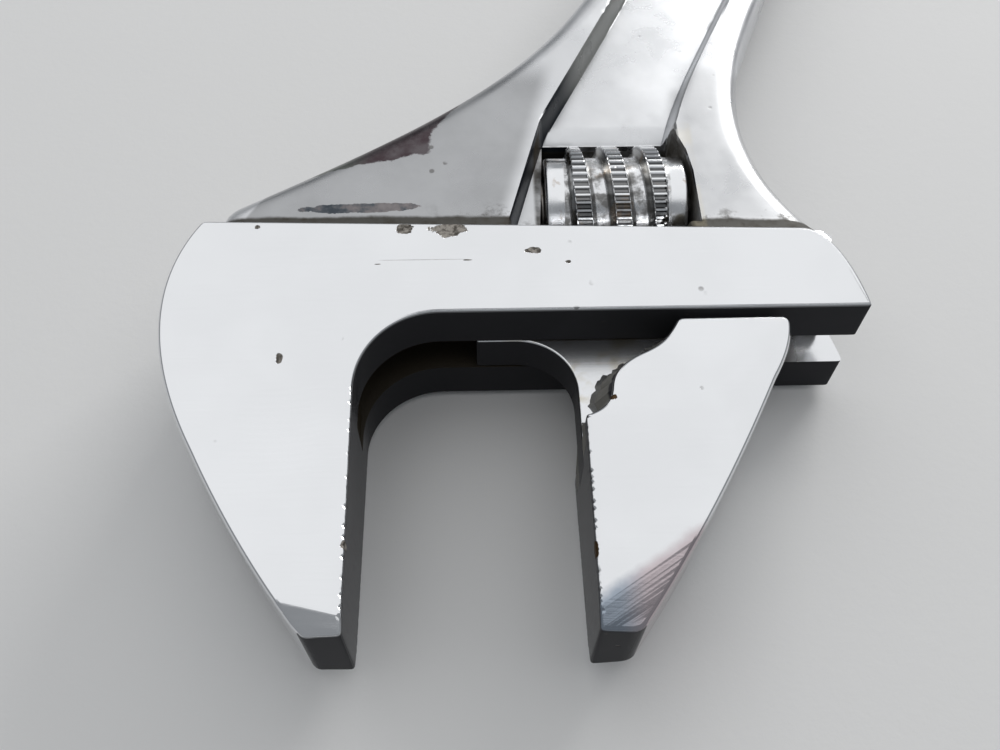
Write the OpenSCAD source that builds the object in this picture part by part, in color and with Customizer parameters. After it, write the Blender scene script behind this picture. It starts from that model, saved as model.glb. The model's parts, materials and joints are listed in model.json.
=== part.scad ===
// Adjustable wrench, 250 mm class: one forged body with the fixed jaw, a sliding jaw on a round
// rack, a right-hand adjusting worm in a window through the neck, its pin and its spring.
// +X is the way the sliding jaw opens, the jaws point to -Y, the handle leans off +Y towards +X,
// and the flat faces lie in XY. The origin is the centre of the fixed jaw's gripping face.

/* [Head] */
// Thickness of the head at the throat
head_t = 15.3; // [14:0.1:18]
// Slope of each head face, thinner towards the jaw tips
head_taper = 3.8; // [2:0.1:4.5]
// Depth of the band between the throat and the step down to the neck
band_d = 11.1; // [10:0.1:13]
// Depth of the band at its right end
band_r = 9.4; // [9:0.1:11]
// Reach of the head to the right of the fixed jaw face
head_right = 49.8; // [44:0.1:58]
// Bulge of the head to the left of the fixed jaw face
head_left = 18.9; // [17:0.1:24]
// Radius of the throat beside the fixed jaw
throat_r = 7.9; // [6.5:0.1:9]

/* [Jaws] */
// Length of both jaws from the throat to the tips
jaw_len = 30.4; // [28:0.1:38]
// Width of a jaw at its tip
tip_w = 4; // [3:0.25:5]
// Opening between the jaws as drawn
opening = 21.2; // [20.5:0.1:22.5]
// Width of the sliding jaw block at the band
block_w = 20.3; // [19:0.1:24]
// Gap between the sliding jaw block and the band
block_gap = 1; // [0.5:0.05:1.5]

/* [Rail and slot] */
// Thickness of the web that carries the sliding jaw
web_t = 4.65; // [3.5:0.05:6]
// Radius of the round rail
rail_r = 4.6; // [4.2:0.1:5]
// Distance of the rail's axis from the throat
rail_y = 8.55; // [8:0.05:10]
// Reach of the rail past the jaw face, under the band
rail_lead = 9.8; // [8:0.1:11]
// Reach of the rail behind the jaw face
rail_tail = 27; // [24:0.5:32]
// Play between the rail, its web and the head, on every side
slide_gap = 0.15; // [0.1:0.01:0.25]

/* [Worm] */
// Outside diameter of the worm
worm_od = 14; // [13:0.1:15]
// Height of the worm's thread
thread_h = 1.3; // [1:0.05:1.5]
// Length of the worm
worm_len = 15.25; // [13:0.05:16.5]
// Pitch of the worm and of the rack
pitch = 4.15; // [3.5:0.05:5]
// Width of the thread at its crest
crest_w = 1.5; // [1.2:0.05:1.8]
// Where the thread's crest faces the rail, from the middle of the worm
thread_at = 1; // [0:0.1:2]
// How far each flank spreads from the crest to the root
flank = 0.7; // [0.4:0.05:0.8]
// Play between the thread and the rack, on every side
mesh_gap = 0.2; // [0.15:0.01:0.3]

/* [Window and pin] */
// Left end of the window, from the fixed jaw face
window_x = 18.3; // [17:0.1:20]
// Play between the worm and the left end of the window
worm_gap = 0.85; // [0.5:0.05:1.2]
// Play between the worm and the right end of the window
worm_play = 0.6; // [0.5:0.05:1.5]
// Diameter of the pin in the worm
pin_d = 4; // [3.5:0.1:4.5]
// Diameter of the pin's threaded head
pin_head_d = 5.2; // [5:0.1:6]
// Running gap of the worm on the pin
pin_gap = 0.05; // [0.02:0.01:0.08]
// Wire of the worm's spring
wire_d = 0.7; // [0.5:0.05:0.8]
// Depth of the spring's pocket in the worm
pocket_d = 4.5; // [3.5:0.1:5.5]

/* [Handle] */
// Distance from the worm to the hanging hole
handle_len = 175; // [150:1:215]
// Lean of the handle from +Y towards +X
handle_lean = 24; // [22:0.5:26]
// Width of the handle where it leaves the neck
handle_w = 19.8; // [18:0.1:22]
// How much narrower each side is at the waist
waist = 2; // [0:0.1:3]
// Width of the handle's end
end_w = 24; // [20:0.2:28]
// Thickness of the handle's rims at the neck
neck_t = 12.6; // [10:0.1:13]
// Thickness of the handle's rims at its end
end_t = 8.6; // [7.6:0.1:10]
// Thickness of the panel between the rims
panel_t = 6.6; // [4.5:0.1:7.5]
// Diameter of the hanging hole
hole_d = 11; // [8:0.5:13]

/* [Hidden] */
$fn = 64;

over = 1;                                    // how far a cutter runs past what it cuts
steel = [0.80, 0.81, 0.83];
bright = [0.88, 0.89, 0.90];

// The face of the fixed jaw that grips runs from the throat's curve to the tip's chamfer.
tip_bevel = 1.6;
tip_cut = 1;                                 // height of the tip's outer chamfer
face_mid = (jaw_len - tip_bevel + throat_r) / 2;

// Head
tan_taper = tan(head_taper);
corner_in = 3.1;                             // from the bulge to the head's upper left corner
corner_x = head_left - corner_in;
shoulder = [-0.75 * head_left, -0.46 * jaw_len];   // where the fixed jaw's outer edge leaves the bulge
bulge_pull = [[-1.4, 0.4 * band_d], [-0.7, -4.5]];  // how the bulge rounds between corner and shoulder
outer_pull = [2.6, -5];                      // how the outer edge starts below the shoulder
tip_pull = 5.6;                              // how far above the tip that edge starts to turn in
tip_in = 0.3;                                // its end, outside the tip
tip_flat = 0.7;                              // how much narrower the tip's end is
end_in = 5.3;                                // how far the band's right end slants in
end_pull = [[0.6, 0.38 * band_r], [2.2, band_r - 0.2]];
tall = 2 * head_t;                           // outlines are drawn taller than the head is thick

// Worm, its window and its pin, in line along X
worm_r = worm_od / 2;
root_r = worm_r - thread_h;
rail_top = rail_y + rail_r;
worm_y = rail_top + mesh_gap + root_r;
worm_x = window_x + worm_gap;
window_w = worm_gap + worm_len + worm_play;
window_y0 = worm_y - worm_r - mesh_gap;
window_y1 = worm_y + worm_r + mesh_gap;
window_mid = window_x + window_w / 2;

// Web and slot
slot_t = web_t + 2 * slide_gap;
web_round = 5.9;                             // round between the jaw's face and the web's edge
slot_depth = 1.6 * web_round;                // reach of the slot down the fixed jaw's root
slot_end = -rail_lead - 1;                   // the slot and the bore stop past the closed rail
bore_r = rail_r + slide_gap;

// Sliding jaw's block: where it scoops round the web, from its face to the band, and its square heel
scoop = [[0, -11.05], [2.65, -8.2], [6, -4.6]];
scoop_end = 9.6;
heel_h = 4.1;
heel_cut = 0.5;
web_short = 2;                               // how much shorter the web is than the block
web_foot = 14;                               // how far the web runs down inside the block
web_slope = 7;

// Handle: its axis leaves the middle of the window's far end
lean = [sin(handle_lean), cos(handle_lean)];
side = [cos(handle_lean), -sin(handle_lean)];
axis0 = [window_mid, window_y1];
neck_len = 26;                               // from the window to where the handle is straight
neck_sunk = 3;                               // how far the neck's outline runs into the band
neck_rise = [0.9, 2.4];                      // the neck's left end, where it stands up from the band
neck_turn = [2.2, 4.7];                      // where it turns to run to the handle
left_reach = 13.8;                           // how far left of the window that curve is pulled
left_pull = 22;                              // how long it then runs along the handle
right_in = 2.6;                              // the neck's right end, in from the head's
right_lift = 1.5;
right_pull = 11.5;                           // how long the right curve runs along the handle
right_reach = [12, 13];                      // how it rounds down to the band
waist0 = axis0 + neck_len * lean;
eye = axis0 + handle_len * lean;
grip_len = handle_len - neck_len;
steps = 16;
panel_lip = 1.6;                             // wall left between the window and the panel
panel_start = 14;                            // past the neck, where the panel runs straight
panel_stop = 4;                              // between the panel's round end and the eye
panel_share = 0.30;                          // half the panel's width, as a share of the handle's
panel_end_r = 0.29;                          // its end's radius, as a share of the eye's width

thread_sunk = 0.3;                           // how far the thread's foot runs into the core
thread_stop = 0.25;                          // plain collar past the thread's ends

// Pin
pin_hold = 7.5;                              // the pin's plain end in the left wall
pin_reach = 6.2;                             // its slotted end in the right wall
pin_left = window_x - pin_hold;
pin_right = window_x + window_w + pin_reach;
head_l = 5.5;                                // length of its threaded head
hole_spare = 0.3;                            // room past the pin's plain end
driver_w = 1;                                // width and depth of the driver's slot
pocket_r = 3.5;
coil_gap = 0.25;                             // between the spring and its pocket's wall
coil_spare = 0.15;                           // between the spring and its pocket's floor
coil_r = pocket_r - coil_gap - wire_d / 2;
coil_len = pocket_d + worm_gap - coil_spare;
turns = 5;

function arc(c, r, a0, a1, n) = [for (i = [0:n]) let (a = a0 + (a1 - a0) * i / n) c + r * [cos(a), sin(a)]];
function curve(a, b, c, d, n) = [for (i = [0:n]) let (t = i / n, u = 1 - t)
    u * u * u * a + 3 * u * u * t * b + 3 * u * t * t * c + t * t * t * d];

// Half the width of the handle at a share k of its length
function half_w(k) = (handle_w + (end_w - handle_w) * k) / 2 - waist * sin(180 * k);
function grip_edge(k, s) = waist0 + grip_len * k * lean + s * half_w(k) * side;

// Half the thickness of the head at y
function half_t(y) = head_t / 2 + y * tan_taper;

// Outline of the head's raised face with the fixed jaw, its throat and the band
module face_outline() {
    tip_y = -jaw_len;
    polygon(concat(
        [[0, tip_y]],
        arc([throat_r, -throat_r], throat_r, 180, 90, 10),
        curve([head_right, 0], [head_right - end_pull[0][0], end_pull[0][1]],
              [head_right - end_pull[1][0], end_pull[1][1]], [head_right - end_in, band_r], 8),
        curve([-corner_x, band_d], [-head_left, 0] + bulge_pull[0], [-head_left, 0] + bulge_pull[1],
              shoulder, 12),
        curve(shoulder, shoulder + outer_pull, [-2 * tip_w, tip_pull - jaw_len],
              [-tip_w - tip_in, tip_cut - jaw_len], 6),
        [[-tip_w + tip_flat, tip_y]]));
}

// Outline of the neck behind the step, running into the handle
module neck_outline() {
    polygon(concat(
        [[-corner_x + 2, band_d - neck_sunk], [-corner_x, band_d] + neck_rise],
        curve([-corner_x, band_d] + neck_turn, [window_x - left_reach, window_y1],
              grip_edge(0, -1) - left_pull * lean, grip_edge(0, -1), 14),
        curve(grip_edge(0, 1), grip_edge(0, 1) - right_pull * lean,
              [head_right - right_reach[0], band_r + right_reach[1]],
              [head_right - right_in, band_r + right_lift], 14),
        [[head_right - right_in - 1, band_r - neck_sunk]]));
}

// Outline of the handle from the neck to its round end
module grip_outline() {
    polygon(concat(
        [for (i = [0:steps]) grip_edge(i / steps, -1)],
        [for (i = [steps:-1:0]) grip_edge(i / steps, 1)]));
    translate(eye) circle(d = end_w);
}

// The panel between the rims: as wide as the window at the neck, and even further on
module panel_outline() {
    a = waist0 + panel_start * lean;
    b = eye - (end_w / 2 + panel_stop) * lean;
    r = panel_end_r * end_w;
    polygon(concat(
        [[window_x + over / 2, window_y1 + panel_lip]],
        [a - panel_share * handle_w * side, b - r * side],
        arc(b, r, 180 - handle_lean, -handle_lean, 10),
        [a + panel_share * handle_w * side, [window_x + window_w - over / 2, window_y1 + panel_lip]]));
}

// The head's wedge, seen along X
module head_wedge() {
    y0 = -jaw_len - over;
    translate([-2 * head_left, 0, 0]) rotate([90, 0, 90])
        linear_extrude(2 * head_left + head_right + block_w + over)
            polygon([[y0, -half_t(y0)], [band_d + over, -half_t(band_d + over)],
                     [band_d + over, half_t(band_d + over)], [y0, half_t(y0)]]);
}

// The handle's thinning from neck to end, seen from its side
module grip_wedge() {
    far = handle_len + end_w;
    wide = head_left + head_right;
    a = neck_t / 2;
    b = end_t / 2;
    translate([axis0[0], axis0[1], 0]) rotate([0, 0, -handle_lean]) translate([-wide, 0, 0]) rotate([90, 0, 90])
        linear_extrude(2 * wide)
            polygon([[-wide, -a], [neck_len, -a], [handle_len, -b], [far, -b],
                     [far, b], [handle_len, b], [neck_len, a], [-wide, a]]);
}

module slab(t) { translate([0, 0, -t / 2]) linear_extrude(t) children(); }

module along_x(x0, x1, r) { translate([x0, 0, 0]) rotate([0, 90, 0]) cylinder(h = x1 - x0, r = r); }

// The thin slot for the web: along the band, and through the throat into the fixed jaw's root,
// where it takes the web's round when the jaws are closed
module slot_outline() {
    translate([slot_end, -slide_gap]) square([head_right + over - slot_end, rail_y]);
    difference() {
        translate([-web_round, -slot_depth]) square([web_round + throat_r, slot_depth]);
        translate([-web_round, -web_round]) circle(r = web_round - 2 * slide_gap);
        translate([-2 * slide_gap, -web_round] - [web_round, web_round]) square([web_round, web_round]);
    }
}

module wrench_body() {
    color(bright) translate([0, face_mid, 0]) difference() {
        union() {
            intersection() {
                slab(tall) face_outline();
                head_wedge();
            }
            intersection() {
                slab(tall) union() {
                    neck_outline();
                    grip_outline();
                }
                grip_wedge();
            }
        }
        // round bore for the rail, and the slot for its web
        translate([0, rail_y, 0]) along_x(slot_end, head_right + over, bore_r);
        slab(slot_t) slot_outline();
        // window for the worm, and the pin's holes either side of it
        translate([window_x, window_y0, -tall / 2]) cube([window_w, window_y1 - window_y0, tall]);
        translate([0, worm_y, 0]) {
            along_x(pin_left - hole_spare, window_x + over, pin_d / 2 + pin_gap);
            along_x(window_x + window_w - over, pin_right - head_l, pin_d / 2 + pin_gap);
            along_x(pin_right - head_l, head_right + 2 * block_w, pin_head_d / 2);
        }
        // panel between the rims on both faces, and the hanging hole
        for (z = [0, 1]) mirror([0, 0, z]) translate([0, 0, panel_t / 2])
            linear_extrude(tall) panel_outline();
        translate([eye[0], eye[1], -tall / 2]) cylinder(h = tall, d = hole_d);
    }
}

// Outline of the sliding jaw's block, from its own face at x = 0
module block_outline() {
    tip_y = -jaw_len;
    top_y = -block_gap;
    heel = [block_w - 1, top_y - heel_h];
    polygon(concat(
        [[0, tip_y]],
        curve(scoop[0], scoop[0] + [1.7, 0.45], scoop[1] - [0.05, 1.4], scoop[1], 5),
        curve(scoop[1], scoop[1] + [0.15, 1.8], scoop[2] - [1.6, 0.7], scoop[2], 5),
        curve(scoop[2], scoop[2] + [2, 0.9], [scoop_end - 0.9, -2.6], [scoop_end, top_y], 5),
        [[block_w - heel_cut, top_y], [block_w, top_y - heel_cut]],
        curve(heel, heel + [-4.4, -8.5], [1.55 * tip_w + 4, 8.6 - jaw_len], [tip_w - 0.2, tip_y + 0.3],
              8),
        [[tip_w - 1, tip_y]]));
}

// Outline of the web between the block and the rail
module web_outline() {
    back = block_w - web_short;
    difference() {
        union() {
            translate([0, -block_gap]) square([back, rail_y + block_gap]);
            polygon([[0, -web_foot], [back - web_slope, -web_foot], [back - 1, -block_gap], [0, -block_gap]]);
            translate([-rail_lead, 0]) square([rail_lead + back, rail_y]);
            translate([-web_round, -web_round]) square([web_round + over, web_round + over]);
        }
        translate([-web_round, -web_round]) circle(r = web_round);
        translate([-2 * web_round, -2 * web_round]) square([web_round, 2 * web_round]);
        translate([-2 * web_round, -3 * web_round]) square([2 * web_round, 2 * web_round]);
    }
}

// One groove of the rack, across the rail and turned to the lead of the thread
module rack_groove() {
    floor_y = worm_y - worm_r - mesh_gap;
    top_y = worm_y - root_r + over;
    grow = flank / thread_h;
    w0 = crest_w / 2 + mesh_gap - grow * mesh_gap;
    w1 = w0 + grow * (top_y - floor_y);
    translate([0, worm_y, 0]) rotate([0, -lead_angle, 0]) translate([0, -worm_y, -rail_r - over])
        linear_extrude(2 * (rail_r + over))
            polygon([[-w0, floor_y], [w0, floor_y], [w1, top_y], [-w1, top_y]]);
}

lead_angle = atan(pitch / (2 * PI * worm_r));
// The thread's crest stands at this x beside the rail
thread_x = worm_x + worm_len / 2 + thread_at;
rack_n0 = ceil((opening - rail_lead - thread_x) / pitch - 0.5);
rack_n1 = floor((opening + rail_tail - thread_x) / pitch + 0.5);

module sliding_jaw() {
    color(steel) translate([0, face_mid, 0]) {
        difference() {
            union() {
                intersection() {
                    translate([opening, 0, 0]) slab(tall) block_outline();
                    head_wedge();
                }
                translate([opening, 0, 0]) slab(web_t) web_outline();
                translate([opening, rail_y, 0]) along_x(-rail_lead, rail_tail, rail_r);
            }
            for (i = [rack_n0:rack_n1]) translate([thread_x + i * pitch, 0, 0]) rack_groove();
        }
    }
}

// The thread of the worm: a ridge with a flat crest on a right-hand helix about X.
// At angle 0 the ridge faces the rail.
module thread() {
    inner = root_r - thread_sunk;
    half = worm_len / 2 - (crest_w / 2 + flank) - thread_stop;
    n = 36;
    count = ceil(2 * half / pitch * n);
    widen = flank * (worm_r - inner) / thread_h;
    prof = [[-crest_w / 2 - widen, inner], [-crest_w / 2, worm_r],
            [crest_w / 2, worm_r], [crest_w / 2 + widen, inner]];
    pts = [for (i = [0:count]) let (s = -half + 2 * half * i / count, a = 360 * (s - thread_at) / pitch)
        for (q = prof) [s + q[0], -q[1] * cos(a), -q[1] * sin(a)]];
    sides = [for (i = [0:count - 1]) for (j = [0:3]) let (k = (j + 1) % 4)
        for (f = [[4 * i + j, 4 * i + k, 4 * i + 4 + k], [4 * i + j, 4 * i + 4 + k, 4 * i + 4 + j]]) f];
    caps = [[3, 2, 1, 0], [4 * count, 4 * count + 1, 4 * count + 2, 4 * count + 3]];
    polyhedron(pts, concat(sides, caps));
}

module adjusting_worm() {
    color(bright) translate([worm_x + worm_len / 2, face_mid + worm_y, 0]) difference() {
        union() {
            along_x(-worm_len / 2, worm_len / 2, root_r);
            thread();
        }
        along_x(-worm_len / 2 - over, worm_len / 2 + over, pin_d / 2 + pin_gap);
        along_x(-worm_len / 2 - over, -worm_len / 2 + pocket_d, pocket_r);
    }
}

module worm_pin() {
    color(steel) translate([0, face_mid + worm_y, 0]) difference() {
        union() {
            along_x(pin_left, pin_right - head_l + over, pin_d / 2);
            along_x(pin_right - head_l, pin_right, pin_head_d / 2);
        }
        translate([pin_right - driver_w, -pin_head_d, -driver_w / 2])
            cube([driver_w + over, 2 * pin_head_d, driver_w]);
    }
}

// The spring: a round wire of six sides on a helix, standing on the window's left end
module worm_spring() {
    n = 12;
    m = 6;
    rings = turns * n;
    flat = wire_d / 2 * cos(180 / m);
    run = coil_len - 2 * flat;
    pts = [for (i = [0:rings]) let (a = 360 * i / n, s = flat + run * i / rings)
        for (j = [0:m - 1]) let (b = -360 * (j + 0.5) / m, r = coil_r + wire_d / 2 * sin(b))
            [s + wire_d / 2 * cos(b), r * cos(a), r * sin(a)]];
    sides = [for (i = [0:rings - 1]) for (j = [0:m - 1]) let (k = (j + 1) % m)
        for (f = [[m * i + j, m * i + k, m * i + m + k], [m * i + j, m * i + m + k, m * i + m + j]]) f];
    caps = [[for (j = [m - 1:-1:0]) j], [for (j = [0:m - 1]) m * rings + j]];
    color("gray") translate([window_x, face_mid + worm_y, 0]) polyhedron(pts, concat(sides, caps));
}

wrench_body();
sliding_jaw();
adjusting_worm();
worm_pin();
worm_spring();
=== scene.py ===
import json
import math

import bmesh
import bpy
import numpy as np
from bpy.props import FloatProperty, FloatVectorProperty, IntProperty, PointerProperty
from mathutils import Matrix, Vector


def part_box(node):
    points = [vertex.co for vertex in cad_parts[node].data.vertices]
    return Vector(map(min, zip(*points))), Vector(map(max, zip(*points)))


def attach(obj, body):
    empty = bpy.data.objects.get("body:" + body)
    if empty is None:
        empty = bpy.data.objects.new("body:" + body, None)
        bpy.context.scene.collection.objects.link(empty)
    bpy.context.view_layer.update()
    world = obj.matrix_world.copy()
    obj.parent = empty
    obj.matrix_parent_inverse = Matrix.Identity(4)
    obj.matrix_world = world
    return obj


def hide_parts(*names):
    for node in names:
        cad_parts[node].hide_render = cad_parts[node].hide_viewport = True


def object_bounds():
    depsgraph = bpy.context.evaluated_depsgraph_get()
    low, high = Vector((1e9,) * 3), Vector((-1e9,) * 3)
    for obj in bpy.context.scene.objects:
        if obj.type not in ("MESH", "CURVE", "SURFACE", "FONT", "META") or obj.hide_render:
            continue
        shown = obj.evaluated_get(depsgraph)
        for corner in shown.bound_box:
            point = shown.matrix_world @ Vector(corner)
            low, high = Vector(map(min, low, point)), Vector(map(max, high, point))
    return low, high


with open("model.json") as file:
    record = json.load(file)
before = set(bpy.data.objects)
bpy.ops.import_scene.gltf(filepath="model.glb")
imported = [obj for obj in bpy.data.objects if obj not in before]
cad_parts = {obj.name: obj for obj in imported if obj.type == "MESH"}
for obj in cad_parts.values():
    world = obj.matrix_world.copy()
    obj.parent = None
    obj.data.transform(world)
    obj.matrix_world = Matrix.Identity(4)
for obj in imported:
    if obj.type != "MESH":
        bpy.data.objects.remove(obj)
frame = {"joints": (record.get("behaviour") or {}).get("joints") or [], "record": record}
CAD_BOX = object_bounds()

bl_info = {
    "name": "Adjustable Wrench",
    "version": (1, 0, 0),
    "blender": (4, 5, 0),
    "location": "3D View > Sidebar > Wrench",
    "description": "Builds a chromed adjustable wrench: body, sliding jaw, worm, pin and spring",
    "category": "Add Mesh",
}

# Lengths in the shape functions are millimetres in the head's own plane, where y = 0 is the throat line
# under the band and x = 0 the fixed jaw's face. `placed` turns them into metres in the frame.
MM = 0.001
RECORD = frame["record"]
MOUNTS = {m["name"]: m for m in RECORD["mounts"]}
JOINTS = {j["name"]: j for j in frame["joints"]}
JAW_LEN = 30.4
HEAD_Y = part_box("wrench_body")[0].y / MM + JAW_LEN
OPENING = MOUNTS["sliding_jaw_face"]["pos_m"][0] / MM
EYE = np.array(MOUNTS["hanging_hole"]["pos_m"][:2]) / MM - [0, HEAD_Y]
HOLE_R = MOUNTS["hanging_hole"]["dims"]["r_mm"]
WORM_MID = np.array(JOINTS["worm_spin"]["pos_m"][:2]) / MM - [0, HEAD_Y]
WORM_LEN = (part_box("adjusting_worm")[1].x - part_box("adjusting_worm")[0].x) / MM
WORM_R = 7.0
ROOT_R = 5.7
PITCH = 4.15
BAND_L, BAND_R = 11.1, 9.4
RAIL_Y, RAIL_R = 8.55, 4.6
WINDOW = (18.3, 35.0, 11.85, 26.25)
SLIDE_GAP = 0.15
WEB_T = 4.65
PIN_HOLE_R = 2.05
# the band's far edge starts at this x and runs this far to the right
STEP_X, STEP_RUN = -15.8, 60.3
# places along the handle, from a point on its axis beside the worm, of the waist and of the hanging hole
WAIST_AT, EYE_AT = 26, 175
# refraction of plated steel, and of the upright faces painted dark as shade, which hardly reflect
PLATED_IOR, DULL_IOR = 1.5, 1.06


def placed(points):
    """Points of the head's plane in millimetres as metres in the frame: y moves up by HEAD_Y, then all shrink
    by 1000."""
    points = np.asarray(points, float)
    return (points + [0, HEAD_Y, 0]) * MM


def row(y):
    """A height in the head's plane in millimetres as a height in the frame in metres."""
    return (y + HEAD_Y) * MM


# ---------------------------------------------------------------- sizes and finishes


class WrenchSizes(bpy.types.PropertyGroup):
    edge_r: FloatProperty(name="Edge radius", description="Rounding of the ground edges of the head and the jaw",
                          default=0.00042, min=0.0001, max=0.0008, unit="LENGTH")
    step_fillet: FloatProperty(name="Step fillet", description="Height of the hollow where the band steps down",
                               default=0.0016, min=0.0005, max=0.0019, unit="LENGTH")
    rim_r: FloatProperty(name="Rim radius", description="Rounding of the neck's and the handle's outer edges",
                         default=0.0026, min=0.001, max=0.004, unit="LENGTH")
    wall_w: FloatProperty(name="Panel wall", description="Width of the sloping wall round the sunk panel",
                          default=0.0008, min=0.0004, max=0.002, unit="LENGTH")
    teeth: IntProperty(name="Knurl teeth", description="Straight teeth in one turn of the worm's crest",
                       default=52, min=30, max=80)
    tooth_h: FloatProperty(name="Knurl depth", description="Depth of the grooves between the knurl's teeth",
                           default=0.00034, min=0.0001, max=0.0005, unit="LENGTH")


class WrenchFinish(bpy.types.PropertyGroup):
    chrome: FloatVectorProperty(name="Chrome", description="Colour of the polished plating",
                                default=(0.80, 0.81, 0.83), min=0, max=1, subtype="COLOR")
    satin: FloatVectorProperty(name="Satin chrome", description="Colour of the duller plating on neck and handle",
                               default=(0.70, 0.71, 0.73), min=0, max=1, subtype="COLOR")
    # painted shade: the upright faces in the jaws and throat are coloured near black for the shade and dark
    # reflections they show
    upright_shade: FloatVectorProperty(name="Upright face shade", description="Colour of upright faces in jaws and throat",
                                  default=(0.035, 0.035, 0.038), min=0, max=1, subtype="COLOR")
    bare: FloatVectorProperty(name="Bare steel", description="Colour of the steel where plating has flaked off",
                              default=(0.075, 0.068, 0.06), min=0, max=1, subtype="COLOR")
    # the colour of grease and dirt, and also the painted shade inside the bores and the slot
    grime_and_shade: FloatVectorProperty(name="Grime and shade", description="Colour of the old grease in corners and grooves",
                               default=(0.035, 0.028, 0.018), min=0, max=1, subtype="COLOR")
    stain: FloatVectorProperty(name="Stain", description="Colour of the thin oily film in the hollows",
                               default=(0.50, 0.42, 0.24), min=0, max=1, subtype="COLOR")
    floor: FloatVectorProperty(name="Floor", description="Colour of the studio floor",
                               default=(0.74, 0.74, 0.74), min=0, max=1, subtype="COLOR")


# ---------------------------------------------------------------- outlines


def bezier(a, b, c, d, n):
    """Cubic Bezier curve: the four points weighted by the binomial terms of t and 1 - t, n + 1 points."""
    t = np.linspace(0, 1, n + 1)[:, None]
    a, b, c, d = (np.asarray(p, float) for p in (a, b, c, d))
    return (1 - t) ** 3 * a + 3 * (1 - t) ** 2 * t * b + 3 * (1 - t) * t ** 2 * c + t ** 3 * d


def arc(centre, r, a0, a1, n):
    """Points on a circle: centre plus r times cosine and sine of angles from a0 to a1 degrees."""
    a = np.radians(np.linspace(a0, a1, n + 1))
    return np.asarray(centre, float) + r * np.stack([np.cos(a), np.sin(a)], 1)


def eased(loop, step, soft):
    """A closed outline read again at even distances `step` along it, then its two coordinates blurred along the
    outline with a Gaussian of width `soft`, which rounds its corners and leaves straight runs straight."""
    p = np.vstack([loop, loop[:1]])
    seg = np.hypot(*np.diff(p, axis=0).T)
    keep = np.concatenate([[True], seg > 1e-6])
    p, s = p[keep], np.concatenate([[0], np.cumsum(seg[seg > 1e-6])])
    n = int(round(s[-1] / step))
    t = np.arange(n) * s[-1] / n
    q = np.stack([np.interp(t, s, p[:, i]) for i in (0, 1)], 1)
    k = np.fft.fftfreq(n, d=s[-1] / n)
    blur = np.exp(-2 * (np.pi * k * soft) ** 2)[:, None]
    q = np.real(np.fft.ifft(np.fft.fft(q, axis=0) * blur, axis=0))
    area = np.sum(q[:, 0] * np.roll(q[:, 1], -1) - np.roll(q[:, 0], -1) * q[:, 1])
    return q if area > 0 else q[::-1]


def distance(points, line):
    """Shortest distance from each point to a polyline: to each segment by projection held to its ends, then the
    least of them."""
    a, b = line[:-1], line[1:]
    ab = b - a
    best = np.full(len(points), np.inf)
    for block in np.array_split(np.arange(len(points)), max(1, len(points) * len(a) // 2_000_000)):
        p = points[block][:, None, :]
        t = np.clip(np.sum((p - a) * ab, -1) / np.maximum(np.sum(ab * ab, -1), 1e-12), 0, 1)
        best[block] = np.sqrt(np.min(np.sum((p - a - t[..., None] * ab) ** 2, -1), 1))
    return best


def inside(points, loop):
    """True where a point lies in a closed outline: a ray to the right crosses its edges an odd number of
    times."""
    a, b = loop, np.roll(loop, -1, axis=0)
    y = points[:, 1:2]
    hit = (a[:, 1] > y) != (b[:, 1] > y)
    dy = np.where(np.abs(b[:, 1] - a[:, 1]) < 1e-12, 1e-12, b[:, 1] - a[:, 1])
    x = a[:, 0] + (y - a[:, 1]) * (b[:, 0] - a[:, 0]) / dy
    return np.sum(hit & (points[:, 0:1] < x), 1) % 2 == 1


def smooth(x):
    """Smoothstep: 0 below 0, 1 above 1, 3x squared minus 2x cubed between."""
    x = np.clip(x, 0, 1)
    return x * x * (3 - 2 * x)


# ---------------------------------------------------------------- meshes


def link(name, mesh):
    """A new object for a mesh, in the scene."""
    obj = bpy.data.objects.new(name, mesh)
    bpy.context.scene.collection.objects.link(obj)
    return obj


def cleaned(mesh, merge=2e-7):
    """Doubles merged, slivers dissolved, faces turned outwards."""
    bm = bmesh.new()
    bm.from_mesh(mesh)
    bmesh.ops.remove_doubles(bm, verts=bm.verts, dist=merge)
    bmesh.ops.dissolve_degenerate(bm, edges=bm.edges, dist=merge)
    bmesh.ops.recalc_face_normals(bm, faces=bm.faces)
    bm.to_mesh(mesh)
    bm.free()
    mesh.update()
    return mesh


def skin(name, grid, wrap=True, caps=True):
    """A mesh over a grid of points (rings, points round, 3): neighbours in both directions make four-sided faces.
    With `wrap` each ring closes on itself, and with `caps` the first and last rings are filled."""
    rows, cols = grid.shape[:2]
    i = np.arange(rows * cols).reshape(rows, cols)
    j = np.roll(i, -1, axis=1) if wrap else i[:, 1:]
    k = i if wrap else i[:, :-1]
    quads = np.stack([k[:-1], j[:-1], j[1:], k[1:]], -1).reshape(-1, 4)
    faces = quads.tolist()
    if caps:
        faces += [i[0][::-1].tolist(), i[-1].tolist()]
    mesh = bpy.data.meshes.new(name)
    mesh.from_pydata(placed(grid.reshape(-1, 3)).tolist(), [], faces)
    return cleaned(mesh)


def prism(name, loop, z0, z1):
    """An outline carried straight up from z0 to z1."""
    loop = np.asarray(loop, float)
    grid = np.stack([np.column_stack([loop, np.full(len(loop), z)]) for z in (z0, z1)])
    return link(name, skin(name, grid))


def turned(name, profile, centre, axis="x", n=96):
    """A profile of (distance along the axis, radius) carried round the axis through `centre`: along plus radius
    times cosine and sine of the angle. Its ends are filled."""
    along, r = np.asarray(profile, float).T
    a = np.linspace(0, 2 * np.pi, n, endpoint=False)
    u, v = r[:, None] * np.cos(a), r[:, None] * np.sin(a)
    w = np.repeat(along[:, None], n, 1)
    xyz = (w, u, v) if axis == "x" else (u, v, w)
    grid = np.stack(xyz, -1) + np.asarray(centre, float)
    return link(name, skin(name, grid))


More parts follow.
